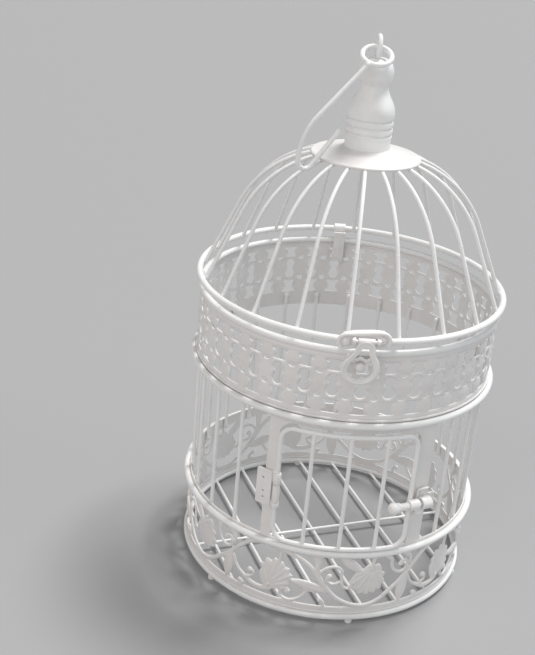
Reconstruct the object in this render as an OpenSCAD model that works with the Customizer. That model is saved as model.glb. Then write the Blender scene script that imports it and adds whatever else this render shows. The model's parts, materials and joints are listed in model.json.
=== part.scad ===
// Wire birdcage card box: a round wire cage on small feet, with two pierced bands, a front door
// with a slide bolt, a domed lid hinged at the back, a front clasp, a turned finial and a hook.
// Origin: centre of the footprint, on the surface the feet stand on. +Z up, the door faces -Y.

/* [Cage body] */
// Centreline radius of the lower and middle rings
body_r = 100; // [96:1:105]
// Diameter of the heavy ring wire
ring_wire_d = 4.2; // [3.6:0.2:4.4]
// Diameter of the body bars, the door bars and the floor wires
bar_wire_d = 2.6; // [2.2:0.1:2.8]
// Height of the lower ring above the base ring
lower_ring_rise = 50; // [46:1:54]
// Height of the middle ring above the base ring
mid_ring_rise = 142.8; // [138:0.2:148]
// Height of the top ring above the base ring
top_ring_rise = 190.5; // [186:0.5:196]
// Number of bars between the two door posts, round the back
body_bar_count = 20; // [16:1:24]
// Thickness of the sheet strips
sheet_t = 0.8; // [0.6:0.1:1]
// Height of the feet under the base ring
foot_h = 1.6; // [1:0.1:2.5]

/* [Floor] */
// Diameter of the floor wires
floor_wire_d = 2; // [1.8:0.1:2.4]
// Spacing of the parallel floor wires
floor_pitch = 25; // [22:1:28]
// Turn of the floor grid about the upright axis
floor_turn = 18.5; // [0:0.5:30]
// Sideways shift of the floor wires from the centre
floor_shift = -5.5; // [-8:0.5:8]

/* [Bands] */
// Number of cells round the upper band
upper_cells = 36; // [30:1:36]
// Number of vine waves round the lower band
vine_waves = 5; // [4:1:6]
// Half the angle of the vine's lower bends
vine_low_half = 15.5; // [14:0.5:17]

/* [Door] */
// Half the angle that the door spans
door_half_angle = 24.9; // [22:0.1:27]
// Diameter of the door frame wire
door_wire_d = 3; // [2.6:0.1:3.2]
// Corner radius of the door frame
door_corner_r = 9; // [7:0.5:11]
// Height of the latch and of the door hinge above the base ring
latch_rise = 87; // [84:1:92]
// Diameter of the latch bolt's shaft
bolt_d = 5; // [4:0.2:5.2]

/* [Lid] */
// Centreline radius of the lid ring
lid_r = 99.5; // [96:0.5:101]
// Height of the lid ring above the base ring
lid_ring_rise = 198.9; // [196:0.1:203]
// Number of dome ribs
rib_count = 20; // [16:1:24]
// Angle of the first rib from the front
rib_phase = -6; // [-9:1:9]
// Diameter of the dome ribs
rib_wire_d = 2.5; // [2.2:0.1:2.8]
// Radius of the cap disc
cap_r = 34; // [30:1:38]
// Height of the rib ends above the base ring
rib_end_rise = 281; // [276:1:286]
// Lean of the straight foot of each rib from the upright
rib_lean = 24; // [20:1:28]
// Slope of each rib where it ends under the cap
rib_end_slope = 14; // [10:1:18]

/* [Finial and hook] */
// Radius of the finial's body
finial_r = 14.8; // [13:0.1:16]
// Centreline radius of the eyelet on the finial
eyelet_r = 6.3; // [6:0.1:7]
// Centreline radius of the hook's eye
hook_eye_r = 9; // [8.5:0.1:9.5]
// Diameter of the hook and eyelet wire
hook_wire_d = 3.2; // [2.8:0.1:3.4]
// Direction of the hook's arm, from the front
hook_turn = -67; // [-70:1:-62]
// Drop from the hook's eye to the centre of its bend
hook_drop = 57.9; // [57:0.1:59]

/* [Hidden] */
$fn = 48;
weld = 0.3;
// Where two lengths of one wire meet, a swelling covers a hairline gap between them
joint_gap = 0.2;
joint_swell = 0.08;

ring_r = ring_wire_d / 2;
bar_r = bar_wire_d / 2;
floor_wire_r = floor_wire_d / 2;
door_wire_r = door_wire_d / 2;
rib_r = rib_wire_d / 2;
hook_wire_r = hook_wire_d / 2;

base_r = body_r - 2.2;
top_r = body_r - 2.5;
base_z = foot_h + ring_r;
lower_z = base_z + lower_ring_rise;
mid_z = base_z + mid_ring_rise;
top_z = base_z + top_ring_rise;
lid_z = base_z + lid_ring_rise;

// The sheet bands sit just inside the heavy rings
band_out = body_r - ring_r + 0.1;
band_in = band_out - sheet_t;
bar_circle_r = band_in - bar_r + weld / 3;
upper_phase = 0.8;

// The posts stand at the two sides of the door
post_gap = 1.5;
left_post_w = 4.1;
right_post_w = 6.4;
post_t = 1;
post_out = band_out + 0.2;
door_top_z = mid_z - 7.8;
door_bottom_z = lower_z + ring_r + door_wire_r + 0.5;
door_hinge_az = -door_half_angle;
bar_from = door_half_angle + 4.1;
bar_step = (360 - 2 * bar_from) / (body_bar_count + 1);

// Latch line: a level tangent in front of the door's free side wire
latch_z = base_z + latch_rise;
bolt_r = bolt_d / 2;
bolt_line_r = body_r + door_wire_r + bolt_r + 0.4;

// Dome ribs: a straight foot that runs into one arc, worked out from the two ends
rib_foot_r = lid_r - ring_r - rib_r + 1.1;
rib_foot_z = lid_z - 0.6;
rib_end_r = cap_r - 1.5;
rib_end_z = base_z + rib_end_rise;
rib_dr = rib_foot_r - rib_end_r;
rib_dz = rib_end_z - rib_foot_z;
rib_det = sin(rib_lean) * (cos(rib_end_slope) - sin(rib_lean))
        - cos(rib_lean) * (cos(rib_lean) - sin(rib_end_slope));
rib_straight = (rib_dr * (cos(rib_end_slope) - sin(rib_lean))
        - rib_dz * (cos(rib_lean) - sin(rib_end_slope))) / rib_det;
rib_arc_r = (sin(rib_lean) * rib_dz - cos(rib_lean) * rib_dr) / rib_det;
rib_arc_angle = 90 - rib_lean - rib_end_slope;

cap_rim_z = rib_end_z + rib_r - 0.2;
cap_top_z = cap_rim_z + 4.4;
finial_z = cap_top_z - 0.4;
ball_top_z = finial_z + 56.8;
eyelet_z = ball_top_z + eyelet_r + 0.1;
hook_eye_tilt = 28;

// Places its child on the cage wall: x runs along the wall, -y points outwards
module on_wall(az, r, z) {
    rotate([0, 0, az]) translate([0, -r, z]) children();
}

// A wire bent round the cage between two directions
module wire_arc(r, z, wire_r, az_from, az_to) {
    rotate([0, 0, az_from - 90])
        rotate_extrude(angle = az_to - az_from) translate([r, z]) circle(wire_r);
}

module wire_ring(r, z, wire_r) {
    rotate_extrude($fn = 120) translate([r, z]) circle(wire_r);
}

// A strip of sheet bent round the cage between two directions
module wall_strip(r_in, r_out, z_low, z_high, az_from, az_to) {
    rotate([0, 0, az_from - 90])
        rotate_extrude(angle = az_to - az_from, $fn = 120)
            translate([r_in, z_low]) square([r_out - r_in, z_high - z_low]);
}

module wall_band(r_in, r_out, z_low, z_high) {
    rotate_extrude($fn = 120) translate([r_in, z_low]) square([r_out - r_in, z_high - z_low]);
}

// A round hole or stud that points straight out of the wall
module radial_rod(az, r, z, rod_r, length) {
    on_wall(az, r, z) rotate([90, 0, 0]) cylinder(r = rod_r, h = length);
}

// A domed rivet head seated on the wall at radius r
module rivet(az, r, z, head_r, head_h) {
    on_wall(az, r, z) rotate([90, 0, 0])
        rotate_extrude() intersection() {
            translate([0, head_h - head_r * 1.25]) circle(head_r * 1.25);
            translate([0, -0.5]) square([head_r, head_h + 1]);
        }
}

// ---- Base and floor ----

module base_ring() {
    color("white") wire_ring(base_r, base_z, ring_r);
}

module feet() {
    color("white")
        for (az = [7.5 : 60 : 307.5])
            on_wall(az, base_r, 0) cylinder(r = 2.4, h = foot_h + 0.6);
}

module floor_wires() {
    color("white")
        for (k = [-3 : 3]) {
            offset_k = floor_shift + k * floor_pitch;
            half = sqrt(pow(base_r - ring_r + 1, 2) - pow(offset_k, 2));
            rotate([0, 0, floor_turn])
                translate([offset_k, half, base_z - 0.2]) rotate([90, 0, 0])
                    cylinder(r = floor_wire_r, h = 2 * half);
        }
}

module floor_cross_wire() {
    half = base_r - ring_r + 1;
    color("white")
        rotate([0, 0, floor_turn])
            translate([-half, 0, base_z + 2 * floor_wire_r - 0.4]) rotate([0, 90, 0])
                cylinder(r = floor_wire_r, h = 2 * half);
}

// ---- Lower band: a vine with leaves between two plain margins ----

lower_band_low = base_z + ring_r - weld;
lower_band_high = lower_z + 3.2;
vine_low_z = lower_band_low + 6.7;
vine_high_z = lower_band_high - 7.7;
vine_w = 3;
curl_w = 2;
// Half widths of a lower and an upper bend, and their shares of the vine's height
vine_high_half = 180 / vine_waves - vine_low_half;
low_half_w = band_out * sin(vine_low_half);
high_half_w = band_out * sin(vine_high_half);
low_rise = (vine_high_z - vine_low_z) * low_half_w / (low_half_w + high_half_w);
high_rise = vine_high_z - vine_low_z - low_rise;

// One bend of the vine, lowest at the origin
module vine_bend(half_w, rise) {
    bend_r = (half_w * half_w + rise * rise) / (2 * rise);
    translate([0, bend_r]) intersection() {
        difference() {
            circle(bend_r + vine_w / 2);
            circle(bend_r - vine_w / 2);
        }
        translate([-half_w - weld, -bend_r - vine_w])
            square([2 * (half_w + weld), rise + 2.5 * vine_w]);
    }
}

// A broad leaf with eight rounded lobes
module lobed_leaf(size) {
    polygon([for (a = [0 : 11.25 : 348.75])
        size * (0.86 + 0.14 * cos(8 * a)) * [cos(a), sin(a)]]);
}

// A pointed leaf: the overlap of two circles
module pointed_leaf(length, width) {
    lens_r = (length * length + width * width) / (4 * width);
    intersection() {
        translate([0, lens_r - width / 2]) circle(lens_r);
        translate([0, -lens_r + width / 2]) circle(lens_r);
    }
}

module curl(r) {
    difference() {
        circle(r);
        circle(r - curl_w);
    }
}

// The stretch of pattern round a lower bend of the vine
module low_stretch() {
    vine_bend(low_half_w, low_rise);
    translate([2.5, 20]) lobed_leaf(11.6);
    translate([5, 28]) rotate(-15) square([curl_w, 12]);
    translate([-21, 22]) curl(6.4);
    translate([-11.5, 32.4]) rotate(-38) pointed_leaf(18, 8);
    translate([19, 31.3]) curl(6.4);
}

// The stretch of pattern round an upper bend of the vine
module high_stretch() {
    translate([0, vine_high_z - vine_low_z]) rotate(180) vine_bend(high_half_w, high_rise);
    translate([6, 17.5]) lobed_leaf(12);
    translate([-8, 24.5]) intersection() {
        curl(23);
        translate([-24, -24]) square([40, 24.5]);
    }
    translate([-7.2, 15.2]) curl(3.8);
    translate([12.8, 6]) curl(4);
    translate([15, -2]) rotate(-38) square([curl_w, 16]);
    translate([26, 15.5]) rotate(-15) pointed_leaf(23, 8.5);
    translate([28, 2.4]) curl(4);
    translate([-27.5, 32]) curl(5.8);
    translate([29, 31]) rotate(75) pointed_leaf(17, 6);
    translate([-29.5, 10.8]) rotate(85) pointed_leaf(25, 7.5);
}

// Wraps a flat stretch of pattern onto the wall, with its middle at the given angle
module on_band(az, half_w) {
    sheet_depth = band_out * (1 - cos(vine_high_half)) + 2;
    rotate([0, 0, az]) translate([0, sheet_depth - band_out, vine_low_z]) rotate([90, 0, 0])
        linear_extrude(height = sheet_depth + 1) intersection() {
            children();
            translate([-half_w - weld / 2, -4]) square([2 * half_w + weld, 48]);
        }
}

module lower_band() {
    low_az = 10.5;
    color("white") {
        wall_band(band_in, band_out, lower_band_low, vine_low_z - 1);
        wall_band(band_in, band_out, vine_high_z, lower_band_high);
        intersection() {
            wall_band(band_in, band_out, lower_band_low + 1, lower_band_high - 1);
            for (k = [0 : vine_waves - 1]) {
                on_band(low_az + k * 360 / vine_waves, low_half_w) low_stretch();
                on_band(low_az + (k + 0.5) * 360 / vine_waves, high_half_w) high_stretch();
            }
        }
    }
}

// ---- Rings, bars and door surround ----

module lower_ring() {
    color("white") wire_ring(body_r, lower_z, ring_r);
}

module mid_ring() {
    color("white") wire_ring(body_r, mid_z, ring_r);
}

module top_ring() {
    color("white") wire_ring(top_r, top_z, ring_r);
}

module body_bars() {
    color("white")
        for (k = [1 : body_bar_count])
            on_wall(bar_from + k * bar_step, bar_circle_r, lower_z - 4)
                cylinder(r = bar_r, h = mid_z - lower_z + 9);
}

module left_door_post() {
    inner = door_half_angle + 1.2;
    color("white")
        wall_strip(post_out - post_t, post_out, lower_z, mid_z, -inner - left_post_w, -inner);
}

module right_door_post() {
    inner = door_half_angle + post_gap + 0.5;
    color("white")
        wall_strip(post_out - post_t, post_out, lower_z, mid_z, inner, inner + right_post_w);
}

// Header over the door, between the posts and the middle ring
module door_header() {
    color("white")
        wall_strip(post_out - post_t + 0.1, post_out - 0.1, door_top_z + door_wire_r + 0.5, mid_z,
            -door_half_angle - 1.5, door_half_angle + post_gap + 1);
}

// ---- Upper band: one cell repeated round the cage ----

upper_band_low = mid_z - 4.4;
upper_band_high = top_z - ring_r + weld;
cell_z = base_z + 167.8;

module band_cell_holes(az) {
    for (side = [-1, 1]) radial_rod(az, band_in - 2, cell_z + side * 3.3, 3.3, 5);
    on_wall(az, band_out + 2, cell_z) translate([-1.9, 0, -3]) cube([3.8, 5, 6]);
    for (side = [-1, 1]) {
        on_wall(az, band_out + 2, cell_z + side * 12.2) translate([-2.6, 0, -2.9]) cube([5.2, 5, 5.8]);
        radial_rod(az + 5, band_in - 2, cell_z + side * 6.6, 1.3, 5);
    }
}

module upper_band() {
    color("white")
        difference() {
            wall_band(band_in, band_out, upper_band_low, upper_band_high);
            for (k = [0 : upper_cells - 1]) band_cell_holes(upper_phase + k * 360 / upper_cells);
        }
}

// ---- Door ----

hinge_leaf_low = latch_z - 14.5;
hinge_leaf_high = latch_z + 14.5;
knuckle_h = 8;

// Fixed leaf on the left post; two knuckles are rolled round the door's side wire
module door_hinge_leaf() {
    leaf_h = hinge_leaf_high - hinge_leaf_low;
    color("white")
        difference() {
            union() {
                on_wall(-30.1, post_out + 0.9, hinge_leaf_low)
                    translate([-5, 0, 0]) cube([10, 1.1, leaf_h]);
                for (z = [hinge_leaf_low, hinge_leaf_high - knuckle_h])
                    on_wall(door_hinge_az, body_r, z + 0.02) {
                        cylinder(r = 2.5, h = knuckle_h - 0.04);
                        translate([-5, 0.6, 0.3]) cube([5, 1.3, knuckle_h - 0.64]);
                    }
            }
            on_wall(door_hinge_az, body_r, hinge_leaf_low - 1)
                cylinder(r = door_wire_r + 0.06, h = leaf_h + 2);
        }
}

module door_hinge_rivets() {
    color("white")
        for (dz = [-9, 0, 9])
            rivet(-29.6, post_out + 0.9, latch_z + dz, 1.5, 0.8);
}

module door_frame_corner(side, top) {
    half = asin(door_corner_r / 2 / body_r);
    z = top ? door_top_z - door_corner_r : door_bottom_z + door_corner_r;
    turn = top ? (side > 0 ? 0 : 90) : (side > 0 ? 270 : 180);
    on_wall(side * (door_half_angle - half), body_r * cos(half), z)
        translate([-side * door_corner_r / 2, 0, 0]) rotate([90, 0, 0]) rotate([0, 0, turn + 1.5])
            rotate_extrude(angle = 87) translate([door_corner_r, 0]) circle(door_wire_r);
}

// Closed wire frame that follows the cage's curve; its left side is the hinge pin
module door_frame() {
    reach = door_half_angle - 2 * asin(door_corner_r / 2 / body_r);
    side_h = door_top_z - door_bottom_z - 2 * door_corner_r;
    color("white") {
        for (side = [-1, 1]) {
            on_wall(side * door_half_angle, body_r, door_bottom_z + door_corner_r)
                cylinder(r = door_wire_r, h = side_h);
            for (top = [false, true]) {
                door_frame_corner(side, top);
                on_wall(side * reach, body_r, top ? door_top_z : door_bottom_z)
                    sphere(door_wire_r + joint_swell);
                on_wall(side * door_half_angle, body_r, door_bottom_z + door_corner_r + (top ? side_h : 0))
                    sphere(door_wire_r + joint_swell);
            }
        }
        for (z = [door_bottom_z, door_top_z]) wire_arc(body_r, z, door_wire_r, 0.15 - reach, reach - 0.15);
    }
}

module door_bars() {
    color("white")
        for (k = [-1 : 1])
            on_wall(k * 13.2, body_r, door_bottom_z + 0.6)
                cylinder(r = bar_r, h = door_top_z - door_bottom_z - 1.2);
}

// Collar crimped on the side wire between the two knuckles
module door_hinge_collar() {
    gap = 0.4;
    color("white")
        on_wall(door_hinge_az, body_r, hinge_leaf_low + knuckle_h + gap)
            difference() {
                cylinder(r = 2.3, h = 29 - 2 * knuckle_h - 2 * gap);
                translate([0, 0, -1]) cylinder(r = door_wire_r - 0.02, h = 29);
            }
}

// ---- Latch: a turned bolt that slides in a guide on the door's free side wire ----

// Places its child on the latch line: x runs along the bolt's travel
module on_latch_line(x) {
    on_wall(door_half_angle, bolt_line_r, latch_z) translate([x, 0, 0]) children();
}

module latch_guide() {
    color("white")
        on_latch_line(-3.6) rotate([0, 90, 0])
            difference() {
                cylinder(r = bolt_r + 1, h = 7.2);
                translate([0, 0, -1]) cylinder(r = bolt_r + 0.06, h = 10);
            }
}

module latch_bolt() {
    knob_r = 4;
    color("white")
        on_latch_line(-18) rotate([0, 90, 0])
            rotate_extrude()
                union() {
                    intersection() {
                        translate([0, knob_r]) circle(knob_r);
                        square([knob_r, 2 * knob_r]);
                    }
                    translate([0, 5]) square([bolt_r + 0.7, 3.1]);
                    translate([0, 6]) square([bolt_r, 16.6]);
                }
}

// Keeper on the right post: a foot plate, a web and an eye for the bolt, with a turned-out top
module latch_keeper() {
    eye_r = bolt_r + 0.35;
    plate_from = door_half_angle + 2.6;
    color("white") {
        wall_strip(post_out - weld / 3, post_out + 1.2, latch_z - 10, latch_z + 10,
            plate_from, plate_from + 5);
        wire_arc(post_out + 0.9, latch_z + 10, 1.3, plate_from, plate_from + 5);
        on_latch_line(0) difference() {
            union() {
                translate([5.4, 0, 0]) rotate([0, 90, 0]) cylinder(r = eye_r + 1, h = 7);
                translate([5.4, 2.2, -2.2]) cube([7, 4, 4.4]);
            }
            translate([0, 0, 0]) rotate([0, 90, 0]) cylinder(r = eye_r, h = 20);
        }
    }
}

module keeper_rivets() {
    color("white")
        for (side = [-1, 1])
            rivet(door_half_angle + 5.1, post_out + 1.2, latch_z + side * 6.9, 1.5, 0.8);
}

// ---- Lid hinge: a strap looped round the lid ring at the back, riveted inside the band ----

strap_w = 8;
strap_t = 1.3;
strap_in = ring_r + 0.16;

module lid_hinge_strap() {
    tail_y = band_in - 2.2 - strap_t;
    color("white") {
        translate([-strap_w / 2, lid_r, lid_z]) rotate([0, 90, 0])
            difference() {
                cylinder(r = strap_in + strap_t, h = strap_w);
                translate([0, 0, -1]) cylinder(r = strap_in, h = strap_w + 2);
            }
        translate([-strap_w / 2, tail_y, lid_z - 3])
            cube([strap_w, lid_r - strap_in - tail_y - 0.05, strap_t]);
        translate([-strap_w / 2, tail_y, lid_z - 24]) cube([strap_w, strap_t, 22.3]);
    }
}

module lid_hinge_rivets() {
    color("white")
        for (z = [lid_z - 14, lid_z - 21])
            translate([0, band_in - 3 - strap_t, z]) rotate([-90, 0, 0]) {
                cylinder(r = 1.6, h = 0.9);
                cylinder(r = 1.1, h = 3.7 + strap_t);
            }
}

// Small beads of paint and weld where bars meet the bands
module weld_beads() {
    color("white")
        for (k = [1 : body_bar_count]) {
            on_wall(bar_from + k * bar_step, bar_circle_r - 0.6, mid_z + 4) sphere(1.6, $fn = 24);
            on_wall(bar_from + k * bar_step, bar_circle_r - 0.6, lower_z - 2.6) sphere(1.6, $fn = 24);
        }
}

// ---- Clasp ----

clasp_z = lid_z - 1.2;
clasp_y = lid_r + ring_r + 1;
pin_y = clasp_y + 2.8;
barrel_r = 2;
pin_z = lid_z + 2.2;
loop_z = lid_z - 15.4;

// Two round lobes joined by a bridge, with a flange that lies back over the lid ring
module clasp_plate() {
    color("white")
        difference() {
            union() {
                translate([0, -clasp_y + 0.9, 0]) rotate([90, 0, 0]) linear_extrude(height = 1.2) {
                    for (side = [-1, 1]) translate([side * 10.2, clasp_z + 1]) circle(4.6);
                    translate([-10.2, clasp_z + 1]) square([20.4, 4.6]);
                    translate([-5.6, clasp_z - 1.5]) square([11.2, 6]);
                }
                translate([-12, -clasp_y + 0.5, clasp_z + 4.6]) cube([24, 5, 1.2]);
                for (side = [-1, 1])
                    translate([side * 6.2, -pin_y, pin_z]) rotate([0, 90, 0])
                        cylinder(r = barrel_r - 0.1, h = 1.6, center = true);
                for (side = [-1, 1])
                    translate([side * 6.2 - 0.8, -pin_y, pin_z - 1.9]) cube([1.6, 3.4, 3.8]);
            }
            translate([-9, -pin_y, pin_z]) rotate([0, 90, 0]) cylinder(r = 1.05, h = 18);
        }
}

module clasp_rivets() {
    color("white")
        for (side = [-1, 1])
            translate([side * 10.2, -clasp_y - 0.3, clasp_z + 1]) rotate([90, 0, 0])
                rotate_extrude() intersection() {
                    translate([0, -1.2]) circle(2.4);
                    square([2.1, 2]);
                }
}

// Swinging tongue: a knuckle on the pin and a shield-shaped loop that hangs over the catch
module clasp_tongue() {
    plate_y = pin_y + barrel_r - 1.1;
    color("white")
        difference() {
            union() {
                translate([-5.1, -pin_y, pin_z]) rotate([0, 90, 0]) cylinder(r = barrel_r, h = 10.2);
                translate([0, -plate_y + 0.3, 0]) rotate([90, 0, 0]) linear_extrude(height = 1.4)
                    difference() {
                        union() {
                            translate([-5.1, pin_z - 4]) square([10.2, 4]);
                            translate([0, loop_z - 0.8]) circle(9.4);
                            translate([-6.6, loop_z + 2.6]) square([13.2, pin_z - loop_z - 5.6]);
                        }
                        translate([0, loop_z]) circle(6.5);
                        translate([-4, loop_z + 2.6]) square([8, 5.4]);
                    }
            }
            translate([-9, -pin_y, pin_z]) rotate([0, 90, 0]) cylinder(r = 1.05, h = 18);
        }
}

module clasp_pin() {
    color("white")
        translate([-7.6, -pin_y, pin_z]) rotate([0, 90, 0]) {
            cylinder(r = 1, h = 15.2);
            for (z = [-0.7, 15.2]) translate([0, 0, z]) cylinder(r = 1.6, h = 0.7);
        }
}

catch_z = loop_z + 1.2;

// Curled catch on the upper band: a low arch with two rounded ends
module clasp_catch() {
    color("white") {
        on_wall(0, band_out - 0.2, catch_z) rotate([90, 0, 0]) linear_extrude(height = 1.5)
            union() {
                intersection() {
                    difference() {
                        translate([0, 8.5]) circle(9.4);
                        translate([0, 9.5]) circle(7.6);
                    }
                    translate([-6, -3]) square([12, 6.5]);
                }
                circle(2.6);
            }
    }
}

module catch_stud() {
    color("white")
        on_wall(0, band_out + 1.3, catch_z) rotate([90, 0, 0]) {
            cylinder(r = 1.5, h = 3.4);
            translate([0, 0, 3.4]) rotate_extrude() intersection() {
                circle(2.7);
                translate([0, -0.6]) square([2.7, 2.6]);
            }
        }
}

// ---- Lid ----

module lid_ring() {
    color("white") wire_ring(lid_r, lid_z, ring_r);
}

// One rib: a straight foot and an arc, with a small swelling where the bend starts
module rib() {
    bend_r = rib_foot_r - rib_straight * sin(rib_lean);
    bend_z = rib_foot_z + rib_straight * cos(rib_lean);
    arc_centre_r = bend_r - rib_arc_r * cos(rib_lean);
    arc_centre_z = bend_z - rib_arc_r * sin(rib_lean);
    translate([0, -rib_foot_r, rib_foot_z]) rotate([-rib_lean, 0, 0])
        cylinder(r = rib_r, h = rib_straight - joint_gap);
    translate([0, -bend_r, bend_z]) sphere(rib_r + joint_swell);
    translate([0, -arc_centre_r, arc_centre_z]) rotate([90, 0, -90]) rotate([0, 0, rib_lean + 0.2])
        rotate_extrude(angle = rib_arc_angle - 0.2) translate([rib_arc_r, 0]) circle(rib_r);
}

module dome_ribs() {
    color("white")
        for (k = [0 : rib_count - 1]) rotate([0, 0, rib_phase + k * 360 / rib_count]) rib();
}

// Shallow dished cap over the rib ends, with a rolled rim
module cap_disc() {
    color("white")
        rotate_extrude($fn = 96) {
            polygon([[0, cap_top_z - 1.2], [finial_r, cap_top_z - 1.2], [cap_r, cap_rim_z - 0.6],
                [cap_r, cap_rim_z + 0.6], [finial_r, cap_top_z], [0, cap_top_z]]);
            translate([cap_r, cap_rim_z]) circle(0.9);
        }
}

// Turned finial: a grooved barrel, a waist and a ball
module finial() {
    neck_r = 8.8;
    neck_z = 38.5;
    ball_r = 11;
    ball_z = 48.6;
    color("white")
        translate([0, 0, finial_z])
            rotate_extrude($fn = 96)
                difference() {
                    union() {
                        square([finial_r, 24]);
                        translate([0, 22]) intersection() {
                            translate([finial_r - 22, 0]) circle(22);
                            square([finial_r, 15]);
                        }
                        square([neck_r, 50]);
                        intersection() {
                            translate([0, ball_z]) circle(ball_r);
                            square([ball_r, ball_top_z - finial_z]);
                        }
                    }
                    for (z = [8.8, 12.6, 16.6]) translate([finial_r + 0.5, z]) circle(1.1);
                    translate([finial_r + 0.2, 1]) circle(0.9);
                }
}

// Screw eyelet in the top of the finial
module eyelet() {
    color("white") {
        translate([0, 0, eyelet_z]) rotate([0, 90, 0])
            rotate_extrude() translate([eyelet_r, 0]) circle(hook_wire_r - 0.1);
        translate([0, 0, ball_top_z - 12]) cylinder(r = 1.4, h = 12.4);
    }
}

// ---- Hook: an eye threaded through the eyelet and a long bent arm that rests on the dome ----

hook_bend_r = 5.3;
hook_arm_r = 38;
hook_tip = 27;
// The arm leaves the eye at this angle round it, a little to the left of its front
arm_az = 238;
eye_shift = 1.5;
// In the arm's own plane: the centre of its long arc, and the straight part that meets that arc
arm_arc_x = 36.2 + hook_bend_r - hook_arm_r;
arm_dist = sqrt(arm_arc_x * arm_arc_x + hook_drop * hook_drop);
arm_straight = sqrt(arm_dist * arm_dist - hook_arm_r * hook_arm_r);
arm_slope = asin(hook_arm_r / arm_dist) - atan2(hook_drop, arm_arc_x);
tip_slope = 38.6;

module hook_arc(x, r, from, to) {
    gap = joint_gap / r * 180 / PI;
    translate([x, -hook_drop, 0]) rotate([0, 0, from + gap])
        rotate_extrude(angle = to - from - 2 * gap) translate([r, 0]) circle(hook_wire_r);
}

module hook_joint(x, y, slope) {
    translate([x, y, 0]) rotate([0, 0, slope]) rotate([0, 90, 0]) sphere(hook_wire_r + joint_swell);
}

module hanging_hook() {
    arm_start = 2.4;
    bend_x = arm_arc_x + hook_arm_r - hook_bend_r;
    tip_x = bend_x - hook_bend_r * cos(tip_slope);
    tip_y = -hook_drop - hook_bend_r * sin(tip_slope);
    color("white") {
        translate([-eye_shift, 0, eyelet_z]) rotate([hook_eye_tilt, 0, 0])
            translate([0, -hook_eye_r, 0]) {
                rotate_extrude() translate([hook_eye_r, 0]) circle(hook_wire_r);
                // Arm, bend and tip, in one upright plane
                translate([hook_eye_r * cos(arm_az), hook_eye_r * sin(arm_az), 0])
                    rotate([-hook_eye_tilt, 0, 0]) rotate([0, 0, hook_turn - 90]) rotate([90, 0, 0]) {
                        rotate([0, 0, arm_slope]) rotate([0, 90, 0]) {
                            translate([0, 0, arm_start - 1.2]) sphere(hook_wire_r + 0.5);
                            translate([0, 0, arm_start])
                                cylinder(r = hook_wire_r, h = arm_straight - joint_gap - arm_start);
                        }
                        hook_joint(arm_straight * cos(arm_slope), arm_straight * sin(arm_slope), arm_slope);
                        hook_arc(arm_arc_x, hook_arm_r, 0, arm_slope + 90);
                        hook_joint(bend_x + hook_bend_r, -hook_drop, 90);
                        hook_arc(bend_x, hook_bend_r, 180 + tip_slope, 360);
                        hook_joint(tip_x, tip_y, 90 + tip_slope);
                        translate([tip_x, tip_y, 0]) rotate([0, 0, 90 + tip_slope])
                            rotate([0, 90, 0]) translate([0, 0, joint_gap])
                                cylinder(r = hook_wire_r, h = hook_tip);
                    }
            }
    }
}

base_ring();
feet();
floor_wires();
floor_cross_wire();
lower_band();
lower_ring();
body_bars();
left_door_post();
right_door_post();
door_header();
mid_ring();
upper_band();
top_ring();
door_hinge_leaf();
door_hinge_rivets();
latch_keeper();
keeper_rivets();
clasp_catch();
catch_stud();
lid_hinge_strap();
lid_hinge_rivets();
weld_beads();
door_frame();
door_bars();
door_hinge_collar();
latch_guide();
latch_bolt();
lid_ring();
dome_ribs();
cap_disc();
finial();
eyelet();
clasp_plate();
clasp_rivets();
clasp_tongue();
clasp_pin();
hanging_hook();
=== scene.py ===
import json
import math

import bpy
import numpy as np
from mathutils import Matrix, Vector


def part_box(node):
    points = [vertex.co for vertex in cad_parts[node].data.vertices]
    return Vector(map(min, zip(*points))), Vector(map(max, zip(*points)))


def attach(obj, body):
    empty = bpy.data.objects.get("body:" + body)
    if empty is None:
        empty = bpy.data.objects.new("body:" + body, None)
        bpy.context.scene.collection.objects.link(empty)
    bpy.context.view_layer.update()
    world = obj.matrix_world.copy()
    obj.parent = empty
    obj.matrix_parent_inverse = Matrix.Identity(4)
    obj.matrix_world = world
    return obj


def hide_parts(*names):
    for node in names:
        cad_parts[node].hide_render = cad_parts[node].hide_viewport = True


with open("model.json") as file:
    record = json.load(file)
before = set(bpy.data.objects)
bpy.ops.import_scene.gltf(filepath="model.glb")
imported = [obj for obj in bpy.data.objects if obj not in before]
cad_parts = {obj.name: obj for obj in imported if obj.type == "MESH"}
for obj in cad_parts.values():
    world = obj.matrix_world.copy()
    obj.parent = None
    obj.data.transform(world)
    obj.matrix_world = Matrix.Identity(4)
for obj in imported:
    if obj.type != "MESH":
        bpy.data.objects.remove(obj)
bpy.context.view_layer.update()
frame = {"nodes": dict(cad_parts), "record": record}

# Metres in a millimetre; every length below is in millimetres unless it says otherwise
MM = 0.001

# ---- Places taken from the frame ----

X, Y, Z = 0, 1, 2


def least(node, axis):
    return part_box(node)[0][axis] / MM


def most(node, axis):
    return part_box(node)[1][axis] / MM


def middle(node, axis):
    return (least(node, axis) + most(node, axis)) / 2


BASE_Z = middle("base_ring", Z)
RING_R = (most("mid_ring", Z) - least("mid_ring", Z)) / 2
BODY_R = most("mid_ring", X) - RING_R
LOWER_Z = least("lower_ring", Z) + RING_R
MID_Z = least("mid_ring", Z) + RING_R
TOP_Z = least("top_ring", Z) + RING_R
BAND_OUT = most("upper_band", X)
# The pierced bands are this much thick
BAND_T = 0.8
BAND_IN = BAND_OUT - BAND_T
LID_Z = least("lid_ring", Z) + RING_R
LID_R = most("lid_ring", X) - RING_R
FINIAL_Z = least("finial", Z)
PIN_Y = -middle("clasp_pin", Y)
PIN_Z = middle("clasp_pin", Z)
LATCH_Z = middle("latch_bolt", Z)
# Half the door opening, in degrees round the wall
DOOR_HALF = 24.9


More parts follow.
